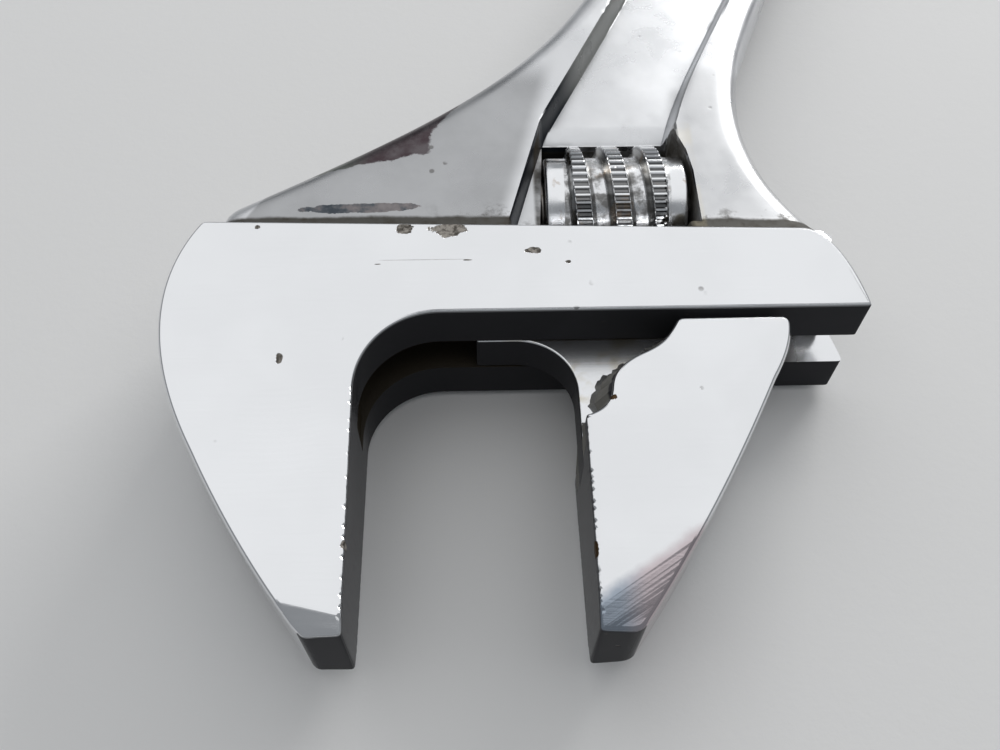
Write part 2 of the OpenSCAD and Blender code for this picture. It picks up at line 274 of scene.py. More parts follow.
def triangled(mesh):
    """Splits every face of a mesh into triangles, in place."""
    bm = bmesh.new()
    bm.from_mesh(mesh)
    bmesh.ops.triangulate(bm, faces=bm.faces)
    bm.to_mesh(mesh)
    bm.free()


def carved(base, *steps):
    """Boolean steps on `base`: pairs of (operation, cutter), each worked out on plain triangles, which keeps the
    result closed, and stored in base's own mesh."""
    for operation, tool in steps:
        triangled(base.data)
        triangled(tool.data)
        m = base.modifiers.new("cut", "BOOLEAN")
        m.operation, m.object, m.solver = operation, tool, "EXACT"
        bpy.context.view_layer.update()
        graph = bpy.context.evaluated_depsgraph_get()
        mesh = bpy.data.meshes.new_from_object(base.evaluated_get(graph))
        base.modifiers.clear()
        old, base.data = base.data, mesh
        bpy.data.meshes.remove(old)
        tool_mesh = tool.data
        bpy.data.objects.remove(tool)
        bpy.data.meshes.remove(tool_mesh)
    return base


def finished(obj, name, body, node, material, sharp=32):
    """Names the piece, sets which edges and faces are shaded sharp or flat, and hands it to the frame."""
    obj.name = obj.data.name = name
    mesh = obj.data
    mesh.set_sharp_from_angle(angle=math.radians(sharp))
    # the head's ground faces and the flats at the tips keep their own normal, all others are shaded smooth
    normal, centre = (np.empty((len(mesh.polygons), 3)) for _ in range(2))
    mesh.polygons.foreach_get("normal", normal.ravel())
    mesh.polygons.foreach_get("center", centre.ravel())
    y, z = centre[:, 1] / MM - HEAD_Y, np.abs(centre[:, 2]) / MM
    ground = ((z > half_head(0, y) - 0.1) & (y < 11.5)) | ((y < -20) & (z > 4) & (np.abs(normal[:, 2]) > 0.93))
    mesh.polygons.foreach_set("use_smooth", ~ground)
    m = obj.modifiers.new("shade", "WEIGHTED_NORMAL")
    m.keep_sharp, m.weight, m.mode = True, 60, "FACE_AREA"
    mesh.materials.clear()
    mesh.materials.append(material)
    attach(obj, body)
    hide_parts(node)
    return obj


def rimmed(name, loop, half, radius, steps=6):
    """A flat piece with rounded edges. The profile is a quarter circle: at angle a it lies radius times
    (1 - sine a) in from the outline and radius times (1 - cosine a) under the face. It is carried round the
    outline, above and below, and the faces follow `half`, the half thickness at each point."""
    along = np.roll(loop, -1, axis=0) - np.roll(loop, 1, axis=0)
    along /= np.hypot(*along.T)[:, None]
    out = np.stack([along[:, 1], -along[:, 0]], 1)
    a = np.linspace(0, np.pi / 2, steps)
    r = np.broadcast_to(radius, len(loop))
    ring = loop[None] - (r[None] * (1 - np.sin(a))[:, None])[..., None] * out[None]
    z = half(ring[..., 0], ring[..., 1]) - r[None] * (1 - np.cos(a))[:, None]
    top = np.concatenate([ring, z[..., None]], -1)
    low = top[::-1] * [1, 1, -1]
    return skin(name, np.concatenate([top, low])[::-1])


def rolled_off(mesh, start, across, reach, drop):
    """Lets a flat face roll down near the jaw's tip. `start` is a point of the line where that begins and
    `across` the direction away from it. Parallel cuts give the face points to bend at, then every height is
    multiplied by 1 - drop times u, the distance past the line over `reach`, eased in over its first quarter."""
    across = np.asarray(across, float) / np.hypot(*across)
    bm = bmesh.new()
    bm.from_mesh(mesh)
    for d in np.linspace(0, reach, 11)[:-1]:
        x, y = np.asarray(start) + across * d
        bmesh.ops.bisect_plane(bm, geom=bm.verts[:] + bm.edges[:] + bm.faces[:], dist=1e-8,
                               plane_co=(x * MM, row(y), 0), plane_no=(*across, 0))
    bm.to_mesh(mesh)
    bm.free()
    co = np.empty(len(mesh.vertices) * 3)
    mesh.vertices.foreach_get("co", co)
    co = co.reshape(-1, 3)
    past = (co[:, :2] / MM - [0, HEAD_Y] - start) @ across
    u = np.clip(past / reach, 0, 1.2)
    co[:, 2] *= 1 - drop * np.where(u < 0.25, 2 * u * u, u - 0.125)
    mesh.vertices.foreach_set("co", co.ravel())
    mesh.update()
    return mesh


def nicked(loop, face_x, radius):
    """Edge radius along an outline, a little larger in short dents where the jaw's gripping face meets the flat:
    dents lie where the sum of three sines of the distance along the face is high."""
    y = loop[:, 1]
    wave = np.sin(7.1 * y) + np.sin(11.3 * y + 1) + np.sin(17.9 * y + 2)
    face = (np.abs(loop[:, 0] - face_x) < 0.3) & (y < -8) & (y > -29)
    return radius + np.where(face, 0.22 * smooth((wave - 0.4) / 1.2) - 0.12, 0)


# ---------------------------------------------------------------- the body's shape


def half_head(x, y):
    """Half the head's thickness: 7.65 at the throat line, 0.0664 more for each millimetre up the head."""
    return 7.65 + 0.0664 * y


def step_y(x):
    """Where the band steps down to the neck: a straight line that drops from its left end to its right end."""
    return BAND_L + (x - STEP_X) * (BAND_R - BAND_L) / STEP_RUN


LEAN = np.array([math.sin(math.radians(24)), math.cos(math.radians(24))])
SIDE = np.array([LEAN[1], -LEAN[0]])
AXIS0 = EYE - EYE_AT * LEAN
WAIST0 = AXIS0 + WAIST_AT * LEAN
GRIP_LEN = EYE_AT - WAIST_AT
END_R = 12.0


def grip_edge(k, s):
    """The handle's edge at share k of its length, on side s: a straight taper less a sine that draws in the
    waist."""
    k = np.atleast_1d(k)[:, None]
    half = (19.8 + 4.2 * k) / 2 - 2.0 * np.sin(np.pi * k)
    return WAIST0 + GRIP_LEN * k * LEAN + s * half * SIDE


def face_loop():
    """The head's raised face: fixed jaw, throat arc, band and rounded left bulge, all Bezier curves and arcs."""
    shoulder = np.array([-14.2, -14.0])
    return np.vstack([
        [[0, -JAW_LEN]], arc((7.9, -7.9), 7.9, 180, 90, 24), [[30, 0]],
        bezier((49.8, 0), (49.2, 3.6), (47.6, 9.2), (44.5, BAND_R), 16), [[20, step_y(20)]],
        bezier((STEP_X, BAND_L), (-20.3, 4.4), (-19.6, -4.5), shoulder, 24),
        bezier(shoulder, shoulder + [2.6, -5], (-8, -24.8), (-4.3, -29.4), 16),
        [[-3.3, -JAW_LEN]]])


def neck_and_handle(sizes):
    """The neck and the handle as one closed skin of cross rows.
    Each row runs from the left edge to the right edge; rows start parallel to the step, turn square to the handle
    and close over its round end. Across a row the points gather at the edges and at the panel's walls.
    Height over the row = half thickness, less a quarter circle at the outer edge (by distance to the outline),
    less the panel's depth times a smoothstep of the distance into the panel, plus the hollow fillet at the step.
    The back is the same with its height negated."""
    fine = np.concatenate([[-2.2, -1.0, -0.3], np.arange(0, 2.4, 0.12), np.arange(2.5, 14.6, 0.5),
                           np.arange(14.8, 18.9, 0.12), np.arange(19.1, 39.6, 0.5)])
    turn = smooth((fine - 18) / 21.75) * 3.15
    waist_l, waist_r = grip_edge(0, -1)[0], grip_edge(0, 1)[0]
    left_curve = np.vstack([[[-13.6, 7.5], [-14.9, 12.2], [-14.7, 14.4]],
                            bezier((-13.9, 15.5), (4.5, 26.25), waist_l - 22 * LEAN, waist_l, 60)])
    right_curve = np.vstack([[[46.2, 5.4], [47.9, 9.6]],
                             bezier((47.2, 10.9), (37.8, 22.4), waist_r - 11.5 * LEAN, waist_r, 60)])
    yl = BAND_L + fine + turn
    yr = BAND_R + fine - turn
    left = np.stack([np.interp(yl, left_curve[:, 1], left_curve[:, 0]), yl], 1)
    right = np.stack([np.interp(yr, right_curve[:, 1], right_curve[:, 0]), yr], 1)
    k = np.concatenate([np.arange(0.0, 0.78, 0.0085), np.arange(0.78, 0.93, 0.004), np.arange(0.935, 1.0, 0.006)])
    phi = np.radians(np.concatenate([np.arange(0, 60, 4), np.arange(60, 90, 2.5), [89.3]]))[:, None]
    left = np.vstack([left, grip_edge(k, -1), EYE + END_R * (-np.cos(phi) * SIDE + np.sin(phi) * LEAN)])
    right = np.vstack([right, grip_edge(k, 1), EYE + END_R * (np.cos(phi) * SIDE + np.sin(phi) * LEAN)])

    # the sunk panel: beside the window on the left, over it, and up the handle to a round end
    far = EYE - (END_R + 4) * LEAN
    panel_r = 6.96
    wall_end = WAIST0 + 14 * LEAN
    pl = np.vstack([[[15.0, 5.0], [15.3, 12.6], [17.3, 20.0], [19.0, 26.2]],
                    bezier((19.2, 26.8), (22.8, 34.4), WAIST0 - 4 * LEAN - 6.1 * SIDE, wall_end - 6.1 * SIDE, 20),
                    [far - panel_r * SIDE]])
    pr = np.vstack([[[33.4, 5.0], [33.4, 26.2]],
                    bezier((33.7, 27.1), (36.0, 34.8), WAIST0 - 6 * LEAN + 6.0 * SIDE, wall_end + 6.1 * SIDE, 20),
                    [far + panel_r * SIDE]])
    panel = np.vstack([pl, arc(far, panel_r, 180 - 24, -24, 24), pr[::-1]])

    # columns: shares of the row's width, set by the edges and the panel's walls
    width = np.hypot(*(right - left).T)
    n = len(left)
    rowdir = (right - left) / width[:, None]

    def crossing(line):
        """Where a boundary crosses each row, as a distance from the row's left end."""
        mid = (line - AXIS0) @ LEAN
        at = ((left + right) / 2 - AXIS0) @ LEAN
        guess = np.stack([np.interp(at, mid, line[:, i]) for i in (0, 1)], 1)
        for _ in range(4):
            u = np.sum((guess - left) * rowdir, 1)
            foot = left + u[:, None] * rowdir
            at = at + ((foot - guess) @ LEAN)
            guess = np.stack([np.interp(at, mid, line[:, i]) for i in (0, 1)], 1)
        return np.sum((guess - left) * rowdir, 1)

    scale = np.minimum(1, width / 17.0)
    ul = np.clip(crossing(pl), 4.2 * scale, width - 8.6 * scale)
    ur = np.clip(crossing(pr), ul + 3.6 * scale, width - 4.2 * scale)
    edge = np.array([0, 0.03, 0.12, 0.28, 0.5, 0.8, 1.15, 1.6, 2.1, 2.7])
    wall = np.array([-0.9, -0.6, -0.42, -0.3, -0.2, -0.1, 0, 0.1, 0.2, 0.3, 0.42, 0.6, 0.9])

    def run(a, b, m):
        t = np.linspace(0, 1, m + 2)[1:-1]
        return a[:, None] + (b - a)[:, None] * t

    e, w = edge[None] * scale[:, None], wall[None] * scale[:, None]
    cols = np.hstack([e, run(e[:, -1], ul - 0.9 * scale, 14), ul[:, None] + w,
                      run(ul + 0.9 * scale, ur - 0.9 * scale, 12), ur[:, None] + w,
                      run(ur + 0.9 * scale, width - e[:, -1], 5), width[:, None] - e[:, ::-1]])
    xy = left[:, None] + cols[..., None] * rowdir[:, None]
    flat = xy.reshape(-1, 2)

    outline = np.vstack([left[3:], right[3:][::-1]])
    edge_d = distance(flat, outline)
    q = (flat - AXIS0) @ LEAN
    height = np.interp(q, [WAIST_AT, EYE_AT], [6.3, 4.3])
    # the left wing is a little crowned and falls away towards its outer edge
    wing = smooth((19 - flat[:, 0] + 0.42 * (flat[:, 1] - 26)) / 30) * smooth((60 - flat[:, 1]) / 30)
    height = height - 0.55 * wing
    rim = np.interp(q, [0, 60, 150], [1.0, 0.8, 0.65]) * sizes.rim_r / MM
    x = np.clip(edge_d / rim, 0, 1)
    height = height - rim * 0.62 * (1 - np.sqrt(np.clip(1 - (1 - x) ** 2, 0, 1)))
    sign = np.where(inside(flat, panel), 1.0, -1.0)
    panel_d = sign * distance(flat, np.vstack([panel, panel[:1]]))
    # the wall is steepest beside the window and softer along the right
    right_side = smooth((np.sum((flat - AXIS0) * SIDE, 1) + 1) / 2)
    half_wall = sizes.wall_w / MM / 2 * (0.72 + 0.28 * smooth((flat[:, 1] - 24) / 8) + 0.65 * right_side)
    depth = np.interp(q, [WAIST_AT, EYE_AT], [3.0, 1.0]) + 0.35 * wing
    sunk = smooth((panel_d + half_wall) / (2 * half_wall))
    height = height - depth * sunk
    # the panel's lip rolls down into the window
    lip = np.clip((flat[:, 1] - WINDOW[3]) / 2.4, 0, 1)
    near = sunk * (flat[:, 1] > WINDOW[3] - 1)
    height = height - near * 0.8 * (1 - lip) ** 2
    # a hollow quarter ellipse, 1.8 times as long as it is high
    r = sizes.step_fillet / MM
    v = 1 - np.clip((flat[:, 1] - step_y(flat[:, 0])) / (1.8 * r), 0, 1)
    height = height + r * (1 - np.sqrt(1 - v ** 2))
    height = height.reshape(n, -1)
    top = np.concatenate([xy, height[..., None]], -1)
    back = top[:, ::-1] * [1, 1, -1]
    return skin("neck", np.concatenate([top, back], 1))


def slot_loop():
    """The thin slot for the web: a run along the band, and the curved bay behind the throat that takes the
    web's round."""
    return np.vstack([[[-10.8, -SLIDE_GAP], [-5.9, -0.3]], arc((-5.9, -5.9), 5.6, 90, 0, 12), [[-0.3, -9.4]],
                      [[2.2, -9.4], [7.9, -8], [7.9, -SLIDE_GAP], [51, -SLIDE_GAP], [51, RAIL_Y],
                       [-10.8, RAIL_Y]]])


class WRENCH_OT_body(bpy.types.Operator):
    """Forged body: head with the fixed jaw and the band, neck and handle, slot, bore, window and holes"""
    bl_idname = "wrench.body"
    bl_label = "Forged body"

    def execute(self, context):
        sizes = context.scene.wrench_sizes
        loop = eased(face_loop(), 0.25, 0.28)
        body = link("body", rimmed("head", loop, half_head, nicked(loop, 0, sizes.edge_r / MM)))
        rolled_off(body.data, (0, -28.5), (-0.25, -1), 2.0, 0.12)
        x0, x1, y0, y1 = WINDOW
        mid_y = WORM_MID[1]
        window = [[x0, y0], [x1, y0], [x1, 19.0], [x1 - 0.4, 22.0], [x1 - 1.3, 24.8], [x1 - 1.7, y1],
                  [x0 + 0.9, y1]]
        # half of the hanging hole's profile: distance from mid plane, and how much wider than the hole it is
        chamfer = [(3.2, 0), (3.7, 0.15), (4.3, 0.6), (4.9, 1.2), (9, 1.2)]
        eye = [(-d, HOLE_R + more) for d, more in chamfer[::-1]] + [(d, HOLE_R + more) for d, more in chamfer]
        bore_r = RAIL_R + SLIDE_GAP
        carved(
            body,
            ("UNION", link("neck", neck_and_handle(sizes))),
            ("DIFFERENCE", turned("bore", [(-10.8, bore_r), (52, bore_r)], (0, RAIL_Y, 0))),
            ("DIFFERENCE", prism("slot", slot_loop(), -WEB_T / 2 - SLIDE_GAP, WEB_T / 2 + SLIDE_GAP)),
            ("DIFFERENCE", prism("window", window, -15, 15)),
            ("DIFFERENCE", turned("left_hole", [(10.5, PIN_HOLE_R), (19.3, PIN_HOLE_R)], (0, mid_y, 0), n=48)),
            ("DIFFERENCE", turned("right_hole", [(34, PIN_HOLE_R), (35.7, PIN_HOLE_R), (35.7, 2.6), (60, 2.6)],
                                  (0, mid_y, 0), n=48)),
            ("DIFFERENCE", turned("eye", eye, (*EYE, 0), axis="z")),
        )
        finished(body, "forged_body", "wrench", "wrench_body", body_chrome())
        return {"FINISHED"}


# ---------------------------------------------------------------- the sliding jaw


def block_loop():
    """The sliding jaw's block, from its own face: a scallop of three Bezier curves beside the web, a square heel
    and a long curved outer edge down to the tip."""
    outer = bezier((19.3, -5.1), (14.9, -13.6), (10.2, -21.8), (3.8, -30.1), 60)
    return np.vstack([
        [[0, -JAW_LEN]], bezier((0, -11.05), (1.7, -10.6), (2.6, -9.6), (2.65, -8.2), 10),
        bezier((2.65, -8.2), (2.8, -6.4), (4.4, -5.3), (6, -4.6), 10),
        bezier((6, -4.6), (8, -3.7), (8.7, -2.6), (9.6, -1), 10),
        [[19.8, -1], [20.3, -1.5]],
        bezier((20.3, -1.7), (20.2, -3.4), (19.5, -5.3), outer[6], 10), outer[7:],
        [[3, -JAW_LEN]]])


def web_loop():
    """The web between block and rail: a bar under the rail, and a concave quarter circle from the jaw's face
    to it."""
    return np.vstack([[[0, -14], [11.3, -14], [17.3, -1], [18.3, -1], [18.3, RAIL_Y], [-9.8, RAIL_Y],
                       [-9.8, 0], [-5.9, 0]],
                      arc((-5.9, -5.9), 5.9, 90, 0, 20), [[0, -6]]])


def ramp_grid():
    """The rough slope between the web and the block: a bent profile carried along the scallop, each of its points a
    step outwards from the curve at a height above the web. It stays behind the jaw's face."""
    curve = block_loop()[1:34]
    curve = curve[np.concatenate([[True], np.hypot(*np.diff(curve, axis=0).T) > 1e-6])]
    s = np.concatenate([[0], np.cumsum(np.hypot(*np.diff(curve, axis=0).T))])
    t = np.linspace(0, s[-1], 70)
    p = np.stack([np.interp(t, s, curve[:, i]) for i in (0, 1)], 1)
    d = np.gradient(p, axis=0)
    out = np.stack([-d[:, 1], d[:, 0]], 1) / np.hypot(*d.T)[:, None]
    lump = 0.10 * np.sin(t * 3.1) + 0.07 * np.sin(t * 7.3 + 1) + 0.05 * np.sin(t * 12.7 + 2)
    upper = smooth((t - 2.5) / 4) * smooth((t[-1] - t) / 1.5)
    away = 1 + lump + 0.45 * upper
    profile = np.array([(-0.8, 5.6), (-0.05, 5.4), (0.30, 4.5), (0.62, 3.6), (0.95, 2.75), (1.35, 2.3), (1.35, 1.9),
                        (-0.8, 1.9)])
    step = np.where(profile[None, :, 0] > 0, profile[None, :, 0] * away[:, None], profile[None, :, 0])
    xy = p[:, None] + step[..., None] * out[:, None]
    xy = np.stack([np.maximum(xy[..., 0], 0.03), np.minimum(xy[..., 1], -0.6)], -1)
    z = 1.9 + (profile[:, 1] - 1.9) * (1 + (0.26 + 0.5 * lump[:, None]) * upper[:, None])
    return np.concatenate([xy + [OPENING, 0], z[..., None]], -1)


def rail_grid():
    """The round rail with its rack. Radius at angle a and place x = the lesser of the rail's radius and the cut's
    height over the cosine of a; the cut's height rises and falls with x as the thread's flanks do, turned by the
    lead."""
    thread_x = WORM_MID[0] + 1.0
    floor = WORM_MID[1] - WORM_R - 0.2 - RAIL_Y
    lead = PITCH / (2 * math.pi * WORM_R)
    x = np.linspace(OPENING - 9.8, OPENING + 27, 520)[:, None]
    a = np.concatenate([np.linspace(-75, 75, 61), np.linspace(80, 280, 41)]) * math.pi / 180
    a = a[None]
    z = RAIL_R * np.sin(a)
    off = (x + z * lead - thread_x + PITCH / 2) % PITCH - PITCH / 2
    rise = np.clip((np.abs(off) - 0.84) * 1.3 / 0.7, 0, 9)
    cut = floor + rise
    r = np.where(np.cos(a) > 0.05, np.minimum(RAIL_R, cut / np.maximum(np.cos(a), 0.05)), RAIL_R)
    return np.stack([x + 0 * a, RAIL_Y + r * np.cos(a), r * np.sin(a)], -1)


class WRENCH_OT_jaw(bpy.types.Operator):
    """Sliding jaw: polished block, web and round rail with the rack"""
    bl_idname = "wrench.jaw"
    bl_label = "Sliding jaw"

    def execute(self, context):
        sizes = context.scene.wrench_sizes
        loop = eased(block_loop(), 0.22, 0.26) + [OPENING, 0]
        jaw = link("jaw", rimmed("block", loop, half_head, nicked(loop, OPENING, sizes.edge_r / MM)))
        rolled_off(jaw.data, (OPENING, -27.8), (6.3, -9.6), 3.1, 0.19)
        web = eased(web_loop(), 0.3, 0.2) + [OPENING, 0]
        carved(
            jaw,
            ("UNION", link("web", rimmed("web", web, lambda x, y: WEB_T / 2 + 0 * x, 0.25, 4))),
            ("UNION", link("rail", skin("rail", rail_grid()))),
        )
        finish = jaw_chrome()
        finished(jaw, "sliding_jaw_piece", "jaw", "sliding_jaw", finish)
        for name, side in (("front_ramp", 1), ("back_ramp", -1)):
            ramp = link(name, skin(name, ramp_grid() * [1, 1, side]))
            finished(ramp, name, "jaw", "sliding_jaw", finish)
        return {"FINISHED"}


# ---------------------------------------------------------------- worm, pin and spring


def worm_grid(sizes):
    """The worm: radius as a function of the angle round it and the place along it.
    Places gather at the thread's edges and shift with the angle by the pitch, so that the edges stay crisp.
    Radius = root, plus the thread's height times a trapezium of the distance to the crest's middle, less the knurl:
    a flat-bottomed groove between narrow teeth, by the share of the angle that falls in each tooth."""
    half = WORM_LEN / 2
    a = np.linspace(0, 2 * np.pi, sizes.teeth * 9, endpoint=False)
    one = np.array([-1.45, -1.25, -1.1, -0.98, -0.9, -0.82, -0.78, -0.72, -0.66, -0.58, -0.4, 0,
                    0.4, 0.58, 0.66, 0.72, 0.78, 0.82, 0.9, 0.98, 1.1, 1.25, 1.45, 1.8])
    turns = np.arange(-4, 5)
    base = (turns[:, None] * PITCH + one[None]).ravel() + 1.0
    s = base[None] + PITCH * (a[:, None] - np.pi) / (2 * np.pi)
    ends = np.array([0, 0.06, 0.16, 0.3, 0.5])
    s = np.clip(s, -half + 0.5, half - 0.5)
    s = np.hstack([np.tile(-half + ends[:-1], (len(a), 1)), s, np.tile(half - ends[:-1][::-1], (len(a), 1))])
    shift = s - 1.0 - PITCH * (a[:, None] - np.pi) / (2 * np.pi)
    off = np.abs((shift + PITCH / 2) % PITCH - PITCH / 2)
    ridge = np.clip((1.45 - off) / 0.7, 0, 1)
    ridge = np.where(ridge > 0.85, 0.85 + 0.15 * np.sin(np.clip((ridge - 0.85) / 0.15, 0, 1) * np.pi / 2), ridge)
    land = smooth((half - 2.15 - s) / 0.5) * smooth((s + half - 2.3) / 0.5)
    share = (a[:, None] * sizes.teeth / (2 * np.pi)) % 1
    groove = smooth((np.abs(share - 0.5) - 0.37) / -0.14)
    crest = smooth((0.80 - off) / 0.06)
    r = ROOT_R + (WORM_R - ROOT_R) * ridge * land - sizes.tooth_h / MM * groove * crest * land
    end = np.minimum(half - s, s + half)
    r = r - 0.35 * (1 - np.sqrt(np.clip(1 - (1 - np.clip(end / 0.35, 0, 1)) ** 2, 0, 1)))
    return s.T, r.T, a


class WRENCH_OT_worm(bpy.types.Operator):
    """Adjusting worm: right-hand thread with a straight knurl on its crest, bored for the pin and the spring"""
    bl_idname = "wrench.worm"
    bl_label = "Adjusting worm"

    def execute(self, context):
        sizes = context.scene.wrench_sizes
        s, r, a = worm_grid(sizes)
        half = WORM_LEN / 2
        # down the bore: from the right end back to the spring's pocket and out at the left end
        bore = np.array([(half, PIN_HOLE_R + 0.3), (half - 0.3, PIN_HOLE_R), (-half + 4.5, PIN_HOLE_R),
                         (-half + 4.5, 3.5), (-half + 0.25, 3.5), (-half, 3.75)])
        s = np.vstack([s, np.tile(bore[:, :1], (1, len(a)))])
        r = np.vstack([r, np.tile(bore[:, 1:], (1, len(a)))])
        s, r = np.vstack([s, s[:1]]), np.vstack([r, r[:1]])
        grid = np.stack([WORM_MID[0] + s, WORM_MID[1] + r * np.cos(a), r * np.sin(a)], -1)
        worm = link("worm", skin("worm", grid, caps=False))
        finished(worm, "worm_piece", "worm", "adjusting_worm", worm_chrome(), sharp=38)
        return {"FINISHED"}


class WRENCH_OT_pin(bpy.types.Operator):
    """Pin: a steel rod turned from one profile, with a slotted threaded end"""
    bl_idname = "wrench.pin"
    bl_label = "Pin"

    def execute(self, context):
        turn = np.arange(0, 4.2, 0.35)
        thread = np.stack([36.0 + turn, 2.58 - 0.18 * (np.arange(len(turn)) % 2)], 1)
        profile = np.vstack([[[10.8, 0.4], [10.8, 1.6], [11.2, 2.0], [35.6, 2.0], [35.7, 2.3]], thread,
                             [[40.6, 2.6], [41.0, 2.45], [41.2, 2.2], [41.2, 0.4]]])
        pin = turned("pin", profile, (0, WORM_MID[1], 0), n=64)
        y0, y1 = WORM_MID[1] - 5, WORM_MID[1] + 5
        carved(pin, ("DIFFERENCE", prism("slot", [(40.2, y0), (43, y0), (43, y1), (40.2, y1)], -0.5, 0.5)))
        finished(pin, "pin_piece", "wrench", "worm_pin", pin_steel())
        return {"FINISHED"}


class WRENCH_OT_spring(bpy.types.Operator):
    """Spring: a circle carried along a helix whose pitch closes up at both ends"""
    bl_idname = "wrench.spring"
    bl_label = "Worm spring"

    def execute(self, context):
        wire, coil = 0.35, 2.9
        run = 4.5 + 0.85 - 0.15 - 2 * wire
        a = np.linspace(0, 2 * np.pi * 5, 5 * 36 + 1)
        t = a / a[-1]
        along = WINDOW[0] + wire + run * (0.86 * t + 0.14 * smooth(t))
        b = np.linspace(0, 2 * np.pi, 12, endpoint=False)
        r = coil + wire * np.cos(b)[None]
        grid = np.stack([along[:, None] + wire * np.sin(b)[None], WORM_MID[1] + r * np.cos(a)[:, None],
                         r * np.sin(a)[:, None]], -1)
        spring = link("spring", skin("spring", grid))
        finished(spring, "spring_piece", "wrench", "worm_spring", spring_steel())
        return {"FINISHED"}


# ---------------------------------------------------------------- finishes


class Recipe:
    """A material's node tree with short ways to add the nodes that these finishes use. All patterns read Object
    coordinates in metres."""

    def __init__(self, name):
        self.mat = bpy.data.materials.new(name)
        self.mat.use_nodes = True
        self.nodes, self.links = self.mat.node_tree.nodes, self.mat.node_tree.links
        self.shader = self.nodes["Principled BSDF"]
        self.coord = self.nodes.new("ShaderNodeTexCoord").outputs["Object"]

    def set(self, socket, value):
        if isinstance(value, bpy.types.NodeSocket):
            self.links.new(value, socket)
        elif isinstance(value, (tuple, list)) and len(value) == 3 and socket.type == "RGBA":
            socket.default_value = (*value, 1)
        else:
            socket.default_value = value

    def out(self, kind, index, inputs, **settings):
        node = self.nodes.new(kind)
        for key, value in settings.items():
            setattr(node, key, value)
        for key, value in inputs.items():
            self.set(node.inputs[key], value)
        return node.outputs[index]

    def math(self, op, a, b=0.0, clamp=False):
        return self.out("ShaderNodeMath", 0, {0: a, 1: b}, operation=op, use_clamp=clamp)

    def times(self, a, b):
        return self.math("MULTIPLY", a, b)

    def plus(self, a, b):
        return self.math("ADD", a, b)

    def minus(self, a, b):
        return self.math("SUBTRACT", a, b)

    def vec(self, op, a, b=(0, 0, 0)):
        return self.out("ShaderNodeVectorMath", "Vector", {0: a, 1: b}, operation=op)

    def noise(self, scale, detail=3.0, rough=0.55, at=None, twist=0.0):
        return self.out("ShaderNodeTexNoise", 0, {"Vector": at or self.coord, "Scale": scale, "Detail": detail,
                                                  "Roughness": rough, "Distortion": twist})

    def span(self, value, a, b, lo=0.0, hi=1.0, soft=True):
        """Maps a..b to lo..hi and holds it there."""
        return self.out("ShaderNodeMapRange", 0, {0: value, 1: a, 2: b, 3: lo, 4: hi},
                        interpolation_type="SMOOTHSTEP" if soft else "LINEAR", clamp=True)

    def blend(self, share, a, b):
        """Colour a where share is 0 and colour b where it is 1."""
        node = self.nodes.new("ShaderNodeMix")
        node.data_type = "RGBA"
        self.set(node.inputs[0], share)
        self.set(node.inputs[6], a)
        self.set(node.inputs[7], b)
        return node.outputs[2]

    def mix(self, share, a, b):
        """Number a where share is 0 and number b where it is 1."""
        node = self.nodes.new("ShaderNodeMix")
        self.set(node.inputs[0], share)
        self.set(node.inputs[2], a)
        self.set(node.inputs[3], b)
        return node.outputs[0]

    def turned(self, angle, scale, at=(0, 0, 0)):
        """Object coordinates moved, turned about Z and scaled."""
        return self.out("ShaderNodeMapping", 0, {"Vector": self.coord, "Location": at,
                                                 "Rotation": (0, 0, math.radians(angle)), "Scale": scale})

    def blob(self, centre, radii, ragged=0.5, grain=900.0):
        """A ragged patch: 1 inside an ellipsoid about `centre` (head plane, mm) of `radii` (mm) whose surface is
        pushed in and out by noise."""
        c = placed([centre])[0]
        scaled = self.vec("MULTIPLY", self.vec("SUBTRACT", self.coord, tuple(c)),
                          tuple(1 / (r * MM) for r in radii))
        length = self.out("ShaderNodeVectorMath", "Value", {0: scaled}, operation="LENGTH")
        pushed = self.plus(length, self.times(self.minus(self.noise(grain, 4, 0.65), 0.5), ragged * 4))
        return self.span(pushed, 1.05, 0.95)

    def room(self, low, high, soft=0.3):
        """1 inside a box from `low` to `high` (head plane, mm), fading to 0 over `soft` outside it."""
        a, b = placed([low, high])
        off = self.vec("ABSOLUTE", self.vec("SUBTRACT", self.coord, tuple((a + b) / 2)))
        x, y, z = self.split(self.vec("SUBTRACT", off, tuple((b - a) / 2)))
        return self.span(self.math("MAXIMUM", self.math("MAXIMUM", x, y), z), soft * MM, 0.0)

    def split(self, vector):
        node = self.nodes.new("ShaderNodeSeparateXYZ")
        self.links.new(vector, node.inputs[0])
        return node.outputs

    def rod(self, y, r, soft=0.2):
        """1 within r of a line along X at height y of the head plane, fading out over `soft`."""
        _, py, pz = self.split(self.coord)
        dy = self.minus(py, row(y))
        d = self.math("SQRT", self.plus(self.times(dy, dy), self.times(pz, pz)))
        return self.span(d, (r + soft) * MM, r * MM)

    def any(self, *masks):
        """The greatest of several masks."""
        found = masks[0]
        for m in masks[1:]:
            found = self.math("MAXIMUM", found, m)
        return found

    def bump(self, height, strength, distance, under=None):
        inputs = {"Strength": strength, "Distance": distance, "Height": height}
        if under is not None:
            inputs["Normal"] = under
        return self.out("ShaderNodeBump", 0, inputs)

    def done(self, colour, rough, normal=None, metal=1.0):
        self.set(self.shader.inputs["Base Color"], colour)
        self.set(self.shader.inputs["Roughness"], rough)
        self.set(self.shader.inputs["Metallic"], metal)
        if normal is not None:
            self.links.new(normal, self.shader.inputs["Normal"])
        return self.mat


def colour(name):
    """A colour of the panel's finish group."""
    return tuple(getattr(bpy.context.scene.wrench_finish, name))


